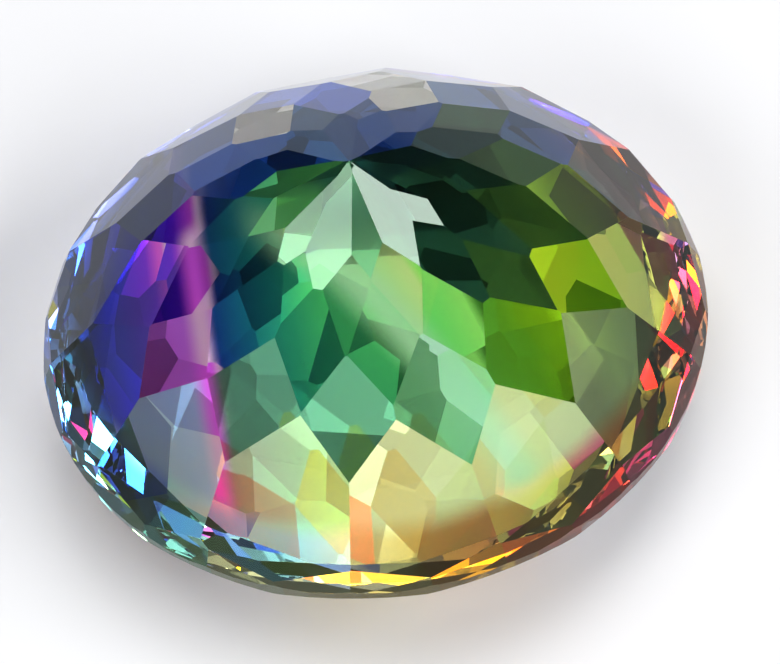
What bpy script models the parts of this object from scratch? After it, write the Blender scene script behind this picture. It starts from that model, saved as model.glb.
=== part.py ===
"""A loose oval rainbow quartz gem: a tall pavilion of five rows of flat facets, resting on its table.

Metres, +Z up. The origin is under the middle of the stone, on the table face that it rests on.
The stone is cut as a lapidary cuts it, one plane for each facet, on a round blank that is then
narrowed to an oval. Flat facets stay flat when the blank is narrowed.
"""

import math
import random

import bmesh
import bpy
from mathutils import Vector

# Outline of the oval and the heights above and below its girdle
LENGTH = 0.0200
WIDTH = 0.0171
PAVILION_HEIGHT = 0.00936
GIRDLE_HEIGHT = 0.00055
TABLE_RADIUS = 0.0060

# Facets in each row, how far the rows are turned from the width axis, and the sides of the girdle
AROUND = 14
TURN_DEG = 2.7
GIRDLE_SIDES = 84

# Slope of each row of facets from the girdle plane, from the point outwards, and where the second row
# starts. The break facets are the steep narrow ones that scallop the girdle, set in from its edge
PAVILION_SLOPES_DEG = (31.8, 36.0, 39.3, 44.5, 51.5)
PAVILION_FIRST_MEET = 0.00221
BREAK_SLOPE_DEG = 67.0
BREAK_INSET = 0.00007
CROWN_SLOPES_DEG = (22.0, 33.0, 41.0)

# How far a hand-held stone strays from the set angle, direction and depth of a facet
SLOPE_STRAY_DEG = 0.30
TURN_STRAY_DEG = 0.70
DEPTH_STRAY = 0.000018
STRAY_SEED = 11

# Vertices closer than this are one meeting point
MEET_TOLERANCE = 3e-6

BLANK_RADIUS = LENGTH / 2
STEP = 2 * math.pi / AROUND
HALF_STEP_COS = math.cos(STEP / 2)

stray = random.Random(STRAY_SEED)


def clear_scene():
    for thing in list(bpy.data.objects):
        bpy.data.objects.remove(thing, do_unlink=True)


def rows_from_point(point_height, first_meet, slopes_deg):
    """The rows of one side as (slope in degrees, height where its planes cross the axis, middle radius).

    Each row starts where two neighbouring facets of the row before it meet, half a step round.
    """
    rows = []
    height, meet = point_height, first_meet
    inner = 0.0
    for slope_deg, next_deg in zip(slopes_deg, slopes_deg[1:] + (None,)):
        rows.append((slope_deg, height, (inner + meet) / 2))
        if next_deg is None:
            break
        slope, next_slope = math.tan(math.radians(slope_deg)), math.tan(math.radians(next_deg))
        next_height = height + (next_slope - slope * HALF_STEP_COS) * meet
        inner = meet
        meet = (next_height - height) / (next_slope * HALF_STEP_COS - slope)
        height = next_height
    return rows


def grind(stone, side, slope_deg, axis_height, turn, middle):
    """Cuts one flat facet. side is 1 for the pavilion above and -1 for the crown below."""
    slope = math.tan(math.radians(slope_deg))
    slope_deg += stray.uniform(-1, 1) * SLOPE_STRAY_DEG
    turn += stray.uniform(-1, 1) * math.radians(TURN_STRAY_DEG)
    lift = stray.uniform(-1, 1) * DEPTH_STRAY
    lean = math.radians(slope_deg)
    outward = Vector((math.cos(turn), math.sin(turn), 0.0))
    normal = outward * math.sin(lean) + Vector((0.0, 0.0, side * math.cos(lean)))
    on_plane = outward * middle + Vector((0.0, 0.0, axis_height - side * slope * middle)) + normal * lift
    everything = stone.verts[:] + stone.edges[:] + stone.faces[:]
    cut = bmesh.ops.bisect_plane(
        stone, geom=everything, dist=1e-9, plane_co=on_plane, plane_no=normal, clear_outer=True
    )
    rim = [edge for edge in cut["geom_cut"] if isinstance(edge, bmesh.types.BMEdge)]
    if rim:
        bmesh.ops.edgeloop_fill(stone, edges=rim)


def grind_row(stone, side, slope_deg, axis_height, middle, shift, count=AROUND):
    """Cuts a whole row of facets, shift steps round from the turned width axis."""
    first = -math.pi / 2 + math.radians(TURN_DEG)
    for number in range(count):
        turn = first + (number + shift) * 2 * math.pi / count
        grind(stone, side, slope_deg, axis_height, turn, middle)


def crown_depth(rows):
    """How far below the girdle the table lies, so that the last crown row just reaches the girdle."""
    slope_deg, axis_height, _ = rows[-1]
    return math.tan(math.radians(slope_deg)) * BLANK_RADIUS - axis_height


def round_blank(top, bottom):
    blank = bmesh.new()
    bmesh.ops.create_cone(
        blank, cap_ends=True, segments=GIRDLE_SIDES,
        radius1=BLANK_RADIUS, radius2=BLANK_RADIUS, depth=top - bottom,
    )
    bmesh.ops.translate(blank, verts=blank.verts, vec=(0, 0, (top + bottom) / 2))
    return blank


def cut_stone():
    """The whole stone, with z = 0 at the top of the girdle until it is stood on its table."""
    pavilion = rows_from_point(PAVILION_HEIGHT, PAVILION_FIRST_MEET, PAVILION_SLOPES_DEG)
    crown = rows_from_point(0.0, TABLE_RADIUS, CROWN_SLOPES_DEG)
    # The crown's own heights start at its point, so the table lies where its first two facets meet
    table_drop = math.tan(math.radians(CROWN_SLOPES_DEG[0])) * HALF_STEP_COS * TABLE_RADIUS
    crown_point = crown_depth(crown)
    table = -GIRDLE_HEIGHT - crown_point + table_drop
    stone = round_blank(PAVILION_HEIGHT, table)
    for row, (slope_deg, axis_height, middle) in enumerate(pavilion):
        grind_row(stone, 1, slope_deg, axis_height, middle, shift=(row % 2) / 2)
    break_height = math.tan(math.radians(BREAK_SLOPE_DEG)) * (BLANK_RADIUS - BREAK_INSET)
    grind_row(stone, 1, BREAK_SLOPE_DEG, break_height, BLANK_RADIUS, shift=0.5, count=2 * AROUND)
    for row, (slope_deg, axis_height, middle) in enumerate(crown):
        height = -GIRDLE_HEIGHT - crown_point - axis_height
        grind_row(stone, -1, slope_deg, height, middle, shift=((row + 1) % 2) / 2)
    bmesh.ops.remove_doubles(stone, verts=stone.verts, dist=MEET_TOLERANCE)
    bmesh.ops.dissolve_degenerate(stone, edges=stone.edges, dist=MEET_TOLERANCE)
    bmesh.ops.scale(stone, verts=stone.verts, vec=(1.0, WIDTH / LENGTH, 1.0))
    bmesh.ops.translate(stone, verts=stone.verts, vec=(0, 0, -table))
    bmesh.ops.recalc_face_normals(stone, faces=stone.faces)
    return stone


def quartz_material():
    """Clear quartz with a pale rainbow film."""
    quartz = bpy.data.materials.new("rainbow_quartz")
    quartz.use_nodes = True
    shader = quartz.node_tree.nodes["Principled BSDF"]
    shader.inputs["Base Color"].default_value = (0.55, 0.80, 0.62, 1.0)
    shader.inputs["Roughness"].default_value = 0.02
    shader.inputs["Metallic"].default_value = 0.0
    shader.inputs["IOR"].default_value = 1.544
    shader.inputs["Transmission Weight"].default_value = 1.0
    return quartz


def main():
    clear_scene()
    stone = cut_stone()
    mesh = bpy.data.meshes.new("quartz_gem")
    stone.to_mesh(mesh)
    stone.free()
    mesh.materials.append(quartz_material())
    gem = bpy.data.objects.new("quartz_gem", mesh)
    collection = bpy.data.collections.new("rainbow_quartz")
    bpy.context.scene.collection.children.link(collection)
    collection.objects.link(gem)


main()
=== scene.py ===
"""Looks of the oval rainbow quartz gem: camera, floor, studio light and the clear stone with its film."""

import math

import bpy
from mathutils import Matrix, Vector


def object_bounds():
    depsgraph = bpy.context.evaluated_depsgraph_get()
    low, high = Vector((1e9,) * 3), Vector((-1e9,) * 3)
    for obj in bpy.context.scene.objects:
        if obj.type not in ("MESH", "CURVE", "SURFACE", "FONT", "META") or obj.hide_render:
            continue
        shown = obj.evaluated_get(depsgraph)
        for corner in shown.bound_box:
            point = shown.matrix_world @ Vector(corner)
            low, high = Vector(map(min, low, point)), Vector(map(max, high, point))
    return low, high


# Camera, from the facet corners seen in the photograph. Angles in degrees, sizes in metres
PHOTO_WIDTH = 780
CAMERA_AZIMUTH = -0.13
CAMERA_ELEVATION = 64.0
CAMERA_ROLL = -8.66
CAMERA_DISTANCE = 0.060
FOCAL_PIXELS = 2002.0
SHIFT_PIXELS = (17.1, -13.9)
SENSOR_WIDTH = 36.0
GIRDLE_SHARE = 0.285

FLOOR_SIZE = 1.2
FLOOR_GAP = 0.00002

# The oval is a round cut squeezed across its width
WIDTH_TO_LENGTH = 0.855

# The fine bevel that polishing leaves on each facet's edge, and how far apart corners are joined for it
EDGE_WIDTH = 0.000018
EDGE_ANGLE = math.radians(2.0)
JOIN_DISTANCE = 0.000001

# Quartz bends light this much and absorbs next to none. Density per metre
QUARTZ_IOR = 1.544
ABSORPTION_COLOR = (0.85, 1.0, 0.9, 1.0)
ABSORPTION_DENSITY = 8.0

# What the stone mirrors is tinted a little by the film
MIRROR_TINT = (0.84, 1.0, 0.88, 1.0)

# Jumps of the film's hue from facet to facet, in half lengths of the stone: by facing, and at random
FACET_JUMP = 0.12
HUE_JITTER = 0.16

# Straight-sided patches inside the facets: size, shift by facing, reach in hue along and round, tones
SHARD_SIZE = 0.0024
SHARD_SHIFT = 0.004
SHARD_HUE = 0.10
SHARD_TURN = 80.0
SHARD_TONES = (0.45, 1.40)

# Scale of the random numbers that facets get from their facing, for the film and for the clear crown facets
FILM_NOISE = 6.0
CROWN_NOISE = 9.0

# Angles from the front between which the film is painted darker and bluer, as painted shade on the far side
PAINTED_SHADE_ANGLES = (80.0, 118.0)
PAINTED_BLUE_SHADE_ANGLES = (95.0, 125.0)

# Where the pavilion, its outer row, the clear crown facets and the table begin, by how level a facet is
PAVILION_LEVEL = (0.42, 0.46)
OUTER_ROW_LEVEL = (0.68, 0.66)
CROWN_LEVEL = (-0.02, -0.10)
TABLE_LEVEL = (-0.98, -0.99)

# Where the rim's colours begin, as a share of the way from the middle to the girdle
RIM_START = (0.83, 0.90)

# Where the ribbon down the left side, with its painted reflections, and the painted highlight from the point
# lie, in half lengths: place, half width
RIBBON = (-0.52, 0.06)
HIGHLIGHT_STREAK = (-0.25, 0.09)

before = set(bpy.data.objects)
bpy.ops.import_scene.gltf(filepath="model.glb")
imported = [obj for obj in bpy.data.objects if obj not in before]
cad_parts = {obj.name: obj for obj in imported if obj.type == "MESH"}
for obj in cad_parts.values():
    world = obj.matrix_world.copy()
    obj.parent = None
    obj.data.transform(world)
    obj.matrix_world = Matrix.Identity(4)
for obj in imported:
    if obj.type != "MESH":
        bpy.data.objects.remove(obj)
cad_low, cad_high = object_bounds()


def add_camera():
    """A camera at the photograph's angle, aimed at the middle of the stone's girdle."""
    azimuth, elevation = math.radians(CAMERA_AZIMUTH), math.radians(CAMERA_ELEVATION)
    roll = math.radians(CAMERA_ROLL)
    height = cad_low[2] + GIRDLE_SHARE * (cad_high[2] - cad_low[2])
    target = Vector((0.0, 0.0, height))
    back = Vector((
        -math.sin(azimuth) * math.cos(elevation),
        -math.cos(azimuth) * math.cos(elevation),
        math.sin(elevation),
    ))
    level_right = (-back).cross(Vector((0, 0, 1))).normalized()
    level_up = level_right.cross(-back)
    right = math.cos(roll) * level_right + math.sin(roll) * level_up
    up = back.cross(right)
    data = bpy.data.cameras.new("camera")
    data.sensor_width = SENSOR_WIDTH
    data.lens = SENSOR_WIDTH * FOCAL_PIXELS / PHOTO_WIDTH
    data.shift_x = SHIFT_PIXELS[0] / PHOTO_WIDTH
    data.shift_y = SHIFT_PIXELS[1] / PHOTO_WIDTH
    data.clip_start = 0.001
    camera = bpy.data.objects.new("camera", data)
    turned = Matrix((right, up, back)).transposed().to_4x4()
    camera.matrix_world = Matrix.Translation(target + back * CAMERA_DISTANCE) @ turned
    bpy.context.scene.collection.objects.link(camera)
    bpy.context.scene.camera = camera


def matt_material(name, color, roughness):
    material = bpy.data.materials.new(name)
    material.use_nodes = True
    shader = material.node_tree.nodes["Principled BSDF"]
    shader.inputs["Base Color"].default_value = (*color, 1.0)
    shader.inputs["Roughness"].default_value = roughness
    return material


def add_floor():
    """A pale floor, a hair below the stone."""
    bpy.ops.mesh.primitive_plane_add(size=FLOOR_SIZE, location=(0, 0, -FLOOR_GAP))
    floor = bpy.context.object
    floor.name = "floor"
    floor.data.materials.append(matt_material("floor_pale", (0.62, 0.62, 0.63), 0.6))


def add_softbox(name, azimuth, elevation, distance, size, power):
    """A rectangular area light aimed at the stone. Azimuth 0 is in front of it, towards the camera."""
    around, rise = math.radians(azimuth), math.radians(elevation)
    back = Vector((math.sin(around) * math.cos(rise), -math.cos(around) * math.cos(rise), math.sin(rise)))
    data = bpy.data.lights.new(name, "AREA")
    data.shape = "RECTANGLE"
    data.size, data.size_y = size
    data.energy = power
    light = bpy.data.objects.new(name, data)
    light.location = back * distance
    light.rotation_euler = back.to_track_quat("Z", "Y").to_euler()
    bpy.context.scene.collection.objects.link(light)


def light_scene():
    world = bpy.data.worlds.new("studio")
    world.use_nodes = True
    background = world.node_tree.nodes["Background"]
    background.inputs["Color"].default_value = (0.8, 0.85, 0.9, 1)
    background.inputs["Strength"].default_value = 0.10
    bpy.context.scene.world = world
    # The facets next to the point mirror the key and the fill, and the two behind light the inside
    add_softbox("key", azimuth=61, elevation=42, distance=0.5, size=(0.47, 0.12), power=2.2)
    add_softbox("fill", azimuth=-53, elevation=43, distance=0.5, size=(0.40, 0.11), power=0.95)
    add_softbox("overhead", azimuth=-162, elevation=70, distance=0.6, size=(0.40, 0.40), power=1.6)
    add_softbox("back", azimuth=152, elevation=58, distance=0.5, size=(0.20, 0.20), power=0.60)


class NodeSums:
    """Short names for the math nodes of one material, so that a pattern reads as a sum."""

    def __init__(self, material):
        self.nodes, self.links = material.node_tree.nodes, material.node_tree.links

    def put(self, socket, value):
        if isinstance(value, bpy.types.NodeSocket):
            self.links.new(value, socket)
        else:
            socket.default_value = value

    def math(self, operation, *values):
        node = self.nodes.new("ShaderNodeMath")
        node.operation = operation
        for socket, value in zip(node.inputs, values):
            self.put(socket, value)
        return node.outputs[0]

    def add(self, a, b):
        return self.math("ADD", a, b)

    def times(self, a, b):
        return self.math("MULTIPLY", a, b)

    def between(self, value, low, high, low_out=0.0, high_out=1.0):
        """A soft step from low_out to high_out as value goes from low to high."""
        node = self.nodes.new("ShaderNodeMapRange")
        node.interpolation_type = "SMOOTHSTEP"
        self.put(node.inputs["Value"], value)
        ends = {"From Min": low, "From Max": high, "To Min": low_out, "To Max": high_out}
        for name, number in ends.items():
            node.inputs[name].default_value = number
        return node.outputs["Result"]

    def hump(self, value, middle, half_width):
        """One at middle, falling to nothing half_width away."""
        offset = self.math("ABSOLUTE", self.add(value, -middle))
        return self.between(offset, 0.0, half_width, 1.0, 0.0)

    def ramp(self, value, stops):
        node = self.nodes.new("ShaderNodeValToRGB")
        elements = node.color_ramp.elements
        while len(elements) < len(stops):
            elements.new(0.5)
        for element, (where, color) in zip(elements, stops):
            element.position = where
            element.color = (*color, 1.0)
        self.put(node.inputs["Fac"], value)
        return node.outputs["Color"]

    def round_ramp(self, degrees, stops):
        """The ramp's colour at an angle from the front, with both its ends behind."""
        return self.ramp(self.math("MULTIPLY_ADD", degrees, 1 / 360, 0.5), stops)

    def mix(self, share, a, b, blend="MIX"):
        node = self.nodes.new("ShaderNodeMix")
        node.data_type = "RGBA"
        node.blend_type = blend
        self.put(node.inputs["Factor"], share)
        for socket, value in zip([i for i in node.inputs if i.type == "RGBA"], (a, b)):
            self.put(socket, (*value, 1.0) if isinstance(value, tuple) else value)
        return next(o for o in node.outputs if o.type == "RGBA")

    def noise(self, vector, scale):
        node = self.nodes.new("ShaderNodeTexNoise")
        node.inputs["Scale"].default_value = scale
        node.inputs["Detail"].default_value = 0.0
        self.put(node.inputs["Vector"], vector)
        return node.outputs["Fac"]

    def shards(self, place, normal):
        """Two random numbers for each straight-sided patch, shifted by the way that the facet faces."""
        shift = self.nodes.new("ShaderNodeVectorMath")
        shift.operation = "MULTIPLY_ADD"
        shift.inputs[1].default_value = (SHARD_SHIFT,) * 3
        self.put(shift.inputs[0], normal)
        self.put(shift.inputs[2], place)
        node = self.nodes.new("ShaderNodeTexVoronoi")
        node.inputs["Scale"].default_value = 1 / SHARD_SIZE
        self.put(node.inputs["Vector"], shift.outputs[0])
        first, second, _ = self.split(node.outputs["Color"])
        return first, second

    def gray(self, value):
        node = self.nodes.new("ShaderNodeCombineColor")
        for socket in node.inputs:
            self.put(socket, value)
        return node.outputs[0]

    def toned(self, color, tone):
        """The colour times a brightness."""
        return self.mix(1.0, color, self.gray(tone), "MULTIPLY")

    def split(self, vector):
        node = self.nodes.new("ShaderNodeSeparateXYZ")
        self.put(node.inputs[0], vector)
        return node.outputs["X"], node.outputs["Y"], node.outputs["Z"]


# What the film lets through from the left end of the stone to the right end
FILM_STOPS = (
    (0.00, (0.30, 0.80, 0.90)),
    (0.05, (0.03, 0.10, 0.60)),
    (0.11, (0.01, 0.03, 0.30)),
    (0.17, (0.03, 0.02, 0.75)),
    (0.23, (0.20, 0.02, 0.90)),
    (0.255, (0.80, 0.15, 0.95)),
    (0.264, (1.00, 0.80, 1.00)),
    (0.275, (0.02, 0.06, 0.30)),
    (0.34, (0.03, 0.28, 0.30)),
    (0.40, (0.07, 0.50, 0.28)),
    (0.47, (0.22, 0.95, 0.26)),
    (0.535, (0.45, 1.00, 0.26)),
    (0.55, (0.12, 0.35, 0.06)),
    (0.62, (0.14, 0.32, 0.03)),
    (0.68, (0.24, 0.42, 0.02)),
    (0.73, (0.60, 1.00, 0.06)),
    (0.78, (0.36, 0.60, 0.03)),
    (0.86, (0.30, 0.33, 0.02)),
    (0.93, (0.95, 0.35, 0.03)),
    (1.00, (1.00, 0.85, 0.10)),
)

# The crown's colours, round the stone from behind over the left end and the front to the right end
CROWN_STOPS = (
    (0.00, (0.60, 0.70, 0.90)),
    (0.14, (0.30, 0.35, 0.90)),
    (0.22, (0.02, 0.05, 0.90)),
    (0.30, (0.10, 0.30, 1.00)),
    (0.36, (0.45, 0.75, 1.00)),
    (0.42, (0.35, 1.00, 0.85)),
    (0.48, (1.00, 0.90, 0.45)),
    (0.55, (1.00, 0.70, 0.08)),
    (0.60, (1.00, 0.35, 0.02)),
    (0.66, (1.00, 0.03, 0.05)),
    (0.71, (0.95, 0.08, 0.40)),
    (0.75, (1.00, 0.50, 0.03)),
    (0.80, (1.00, 0.95, 0.04)),
    (0.85, (1.00, 0.25, 0.02)),
    (0.89, (0.35, 0.05, 0.60)),
    (0.93, (0.02, 0.04, 0.90)),
    (1.00, (0.60, 0.70, 0.90)),
)

WHITE = (1.00, 1.00, 1.00)
# Painted shade on the far side, in dark blue
PAINTED_SHADE_BLUE = (0.02, 0.10, 0.50)
# Painted light, pale on the front of the row next to the girdle
PAINTED_LIGHT_CREAM = (0.92, 0.98, 0.56)
# A painted highlight, in mint
PAINTED_HIGHLIGHT_MINT = (0.62, 1.00, 0.62)
MAGENTA = (0.85, 0.20, 1.00)
# Painted reflections, near white, in the ribbon down the left
PAINTED_REFLECTION_PINK = (1.00, 0.75, 1.00)

# Facets with a colour of their own, among them dark painted shade on the right and white painted glints
# behind: angle from the front, reach, least and most level, colour
FILM_AND_PAINTED_LIGHT_PATCHES = (
    # Painted shade: the two dark patches on the right
    (73.0, 52.0, 0.79, 1.00, (0.02, 0.08, 0.07)),
    (95.0, 45.0, 0.745, 0.79, (0.06, 0.14, 0.05)),
    (-49.0, 13.0, 0.50, 0.67, (0.42, 0.70, 1.00)),
    (-62.0, 12.0, 0.67, 0.745, (0.70, 0.28, 1.00)),
    (-23.0, 25.0, 0.67, 0.745, (0.24, 0.55, 0.38)),
    (67.0, 13.0, 0.67, 0.745, (0.52, 1.00, 0.05)),
    (80.0, 13.0, 0.50, 0.67, (0.85, 1.00, 0.20)),
    (-45.0, 55.0, 0.83, 1.00, (0.32, 1.00, 0.40)),
    (15.0, 13.0, 0.67, 0.745, (0.45, 1.00, 0.55)),
    # Painted glints: the two white patches behind
    (162.0, 14.0, 0.67, 0.79, (1.00, 1.00, 0.90)),
    (-145.0, 12.0, 0.745, 0.79, (1.00, 1.00, 0.95)),
    (-170.0, 12.0, 0.67, 0.79, (0.08, 0.18, 0.95)),
)


class Facet:
    """What the film's colour is made from: the place on the stone, the facet's facing and random numbers."""

    def __init__(self, sums):
        geometry = sums.nodes.new("ShaderNodeNewGeometry")
        place = sums.nodes.new("ShaderNodeTexCoord").outputs["Object"]
        self.normal = geometry.outputs["True Normal"]
        self.seen_from_inside = geometry.outputs["Backfacing"]
        x, y, _ = sums.split(place)
        half = (cad_high[0] - cad_low[0]) / 2
        self.x, self.y = sums.times(x, 1 / half), sums.times(y, 1 / half)
        self.nx, self.ny, nz = sums.split(self.normal)
        self.turn, self.level = self.facing(sums, nz)
        self.own = sums.noise(self.normal, FILM_NOISE)
        self.shard, self.other = sums.shards(place, self.normal)
        self.glint = sums.between(self.other, 0.0, 1.0, *SHARD_TONES)
        self.aside = sums.math("ABSOLUTE", self.turn)
        # Painted shade: the film is painted darker on the facets that face away from the front
        self.painted_shade_tone = sums.between(self.aside, *PAINTED_SHADE_ANGLES, 1.0, 0.22)

    def facing(self, sums, nz):
        """As if the oval were round: angle from the front, and 1 for level to 0 for upright."""
        ny = sums.times(self.ny, WIDTH_TO_LENGTH)
        side = sums.add(sums.times(self.nx, self.nx), sums.times(ny, ny))
        whole = sums.math("SQRT", sums.add(side, sums.times(nz, nz)))
        turn = sums.math("ARCTAN2", self.nx, sums.times(ny, -1.0))
        return sums.times(turn, 180 / math.pi), sums.math("DIVIDE", nz, whole)


def rainbow(sums, facet):
    """The film's hue along the stone, which leans towards the front on the right and jumps at each facet."""
    x, y = facet.x, facet.y
    along = sums.add(x, sums.times(sums.times(y, 0.5), sums.between(x, -0.2, 0.2)))
    jump = sums.add(sums.times(facet.nx, FACET_JUMP), sums.times(sums.add(facet.own, -0.5), HUE_JITTER))
    shifted = sums.add(sums.add(along, jump), sums.times(sums.add(facet.shard, -0.5), SHARD_HUE))
    hue = sums.ramp(sums.math("MULTIPLY_ADD", shifted, 0.5 / (1 + FACET_JUMP), 0.5), FILM_STOPS)
    # The film's tone is darkened here by the painted shade of the far side
    tone = sums.times(sums.times(facet.painted_shade_tone, facet.glint), sums.between(facet.own, 0.35, 0.65, 0.70, 1.20))
    return sums.toned(hue, tone)


def add_far_painted_shade(sums, facet, color):
    # Painted shade: behind, the film is painted a dark blue
    share = sums.between(facet.aside, *PAINTED_BLUE_SHADE_ANGLES, 0.0, 0.7)
    return sums.mix(share, color, sums.toned(PAINTED_SHADE_BLUE, facet.glint))


def add_front_painted_light(sums, facet, color):
    """Painted light: the row next to the girdle is painted pale in front."""
    outer_row = sums.between(facet.level, *OUTER_ROW_LEVEL)
    share = sums.times(sums.times(outer_row, sums.hump(facet.turn, 12.0, 75.0)), 0.95)
    tone = sums.between(facet.other, 0.0, 1.0, 0.88, 1.08)
    return sums.mix(share, color, sums.toned(PAINTED_LIGHT_CREAM, tone))


def add_painted_highlight(sums, facet, color):
    """A painted highlight: a mint streak from the left of the point down to the right."""
    slanted = sums.add(sums.times(facet.x, 0.75), sums.times(facet.y, 0.66))
    across = sums.add(slanted, sums.times(facet.ny, 0.10))
    reach = sums.times(facet.painted_shade_tone, sums.between(facet.x, -0.36, -0.18))
    streak = sums.times(sums.hump(across, *HIGHLIGHT_STREAK), reach)
    return sums.mix(sums.times(streak, 0.8), color, PAINTED_HIGHLIGHT_MINT)


def add_patches_and_painted_light(sums, facet, color):
    """The facets with a colour of their own, and the painted shade and painted glints among them."""
    for facing, reach, lowest, highest, patch in FILM_AND_PAINTED_LIGHT_PATCHES:
        above = sums.between(facet.level, lowest - 0.01, lowest)
        inside = sums.times(above, sums.between(facet.level, highest, highest + 0.01, 1.0, 0.0))
        away = sums.math("ABSOLUTE", sums.add(facet.turn, -facing))
        share = sums.times(inside, sums.between(away, reach - 1.0, reach + 1.0, 0.9, 0.0))
        color = sums.mix(share, color, sums.toned(patch, facet.glint))
    return color


def add_ribbon(sums, facet, color):
    """A magenta ribbon down the left side, with near-white painted reflections in it."""
    ribbon = sums.hump(sums.add(facet.x, sums.times(facet.nx, 0.10)), *RIBBON)
    ribbon = sums.times(ribbon, sums.between(facet.y, 0.08, 0.0))
    magenta_and_painted_pink = sums.mix(sums.between(facet.other, 0.5, 0.6), MAGENTA, PAINTED_REFLECTION_PINK)
    return sums.mix(ribbon, color, magenta_and_painted_pink)


def add_rim(sums, facet, color):
    """Next to the girdle the hue runs round the stone, in patches."""
    wide_y = sums.times(facet.y, 1 / WIDTH_TO_LENGTH)
    from_middle = sums.math("SQRT", sums.add(sums.times(facet.x, facet.x), sums.times(wide_y, wide_y)))
    here = sums.times(sums.math("ARCTAN2", facet.x, sums.times(wide_y, -1.0)), 180 / math.pi)
    patchy = sums.add(here, sums.times(sums.add(facet.shard, -0.5), SHARD_TURN))
    rim = sums.toned(sums.round_ramp(patchy, CROWN_STOPS), facet.glint)
    return sums.mix(sums.between(from_middle, *RIM_START, 0.0, 0.85), color, rim)


def add_crown(sums, facet, color):
    """The girdle and the crown run through the hues too, but some crown facets and the table are clear."""
    crown = sums.round_ramp(sums.add(facet.turn, sums.times(facet.own, 30.0)), CROWN_STOPS)
    picked = sums.between(sums.noise(facet.normal, CROWN_NOISE), 0.47, 0.51)
    crown = sums.mix(sums.times(picked, sums.between(facet.level, *CROWN_LEVEL)), crown, WHITE)
    color = sums.mix(sums.between(facet.level, *PAVILION_LEVEL, 1.0, 0.0), color, crown)
    return sums.mix(sums.between(facet.level, *TABLE_LEVEL), color, WHITE)


def film_and_painted_light_color(sums):
    """The rainbow film with painted shade, painted light, a painted highlight, painted reflections and
    painted glints: the pavilion's colours, then those of the girdle and the crown.
    """
    facet = Facet(sums)
    color = rainbow(sums, facet)
    # The painted shade, painted light, highlight, reflections and glints are mixed in with the film's own
    # colours
    for add_part in (add_far_painted_shade, add_front_painted_light, add_painted_highlight, add_patches_and_painted_light, add_ribbon, add_rim):
        color = add_part(sums, facet, color)
    # From inside, the pavilion is clear, so that the light under the stone isn't dimmed
    color = sums.mix(facet.seen_from_inside, color, WHITE)
    color = add_crown(sums, facet, color)
    # Glass is tinted by the square root of its base colour, so the colour is squared
    return sums.mix(1.0, color, color, "MULTIPLY")


def gem_material():
    """Clear quartz: plain transmission, IOR and absorption, under the film."""
    material = bpy.data.materials.new("rainbow_quartz_clear")
    material.use_nodes = True
    sums = NodeSums(material)
    shader = sums.nodes["Principled BSDF"]
    shader.inputs["Roughness"].default_value = 0.0
    shader.inputs["IOR"].default_value = QUARTZ_IOR
    shader.inputs["Transmission Weight"].default_value = 1.0
    shader.inputs["Specular Tint"].default_value = MIRROR_TINT
    sums.put(shader.inputs["Base Color"], film_and_painted_light_color(sums))
    absorption = sums.nodes.new("ShaderNodeVolumeAbsorption")
    absorption.inputs["Color"].default_value = ABSORPTION_COLOR
    absorption.inputs["Density"].default_value = ABSORPTION_DENSITY
    sums.put(sums.nodes["Material Output"].inputs["Volume"], absorption.outputs["Volume"])
    return material


def dress_gem():
    """The film's material and finely bevelled edges on the solid itself."""
    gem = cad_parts["quartz_gem"]
    material = gem_material()
    for slot in gem.material_slots:
        slot.material = material
    weld = gem.modifiers.new("joined_corners", "WELD")
    weld.merge_threshold = JOIN_DISTANCE
    bevel = gem.modifiers.new("ground_edges", "BEVEL")
    bevel.width = EDGE_WIDTH
    bevel.segments = 1
    bevel.limit_method = "ANGLE"
    bevel.angle_limit = EDGE_ANGLE


def set_light_paths_and_view():
    cycles = bpy.context.scene.cycles
    cycles.max_bounces = 24
    cycles.transmission_bounces = 24
    cycles.glossy_bounces = 12
    cycles.sample_clamp_indirect = 8.0
    view = bpy.context.scene.view_settings
    view.view_transform = "Standard"
    view.look = "High Contrast"
    view.exposure = -0.35


add_camera()
add_floor()
light_scene()
dress_gem()
set_light_paths_and_view()
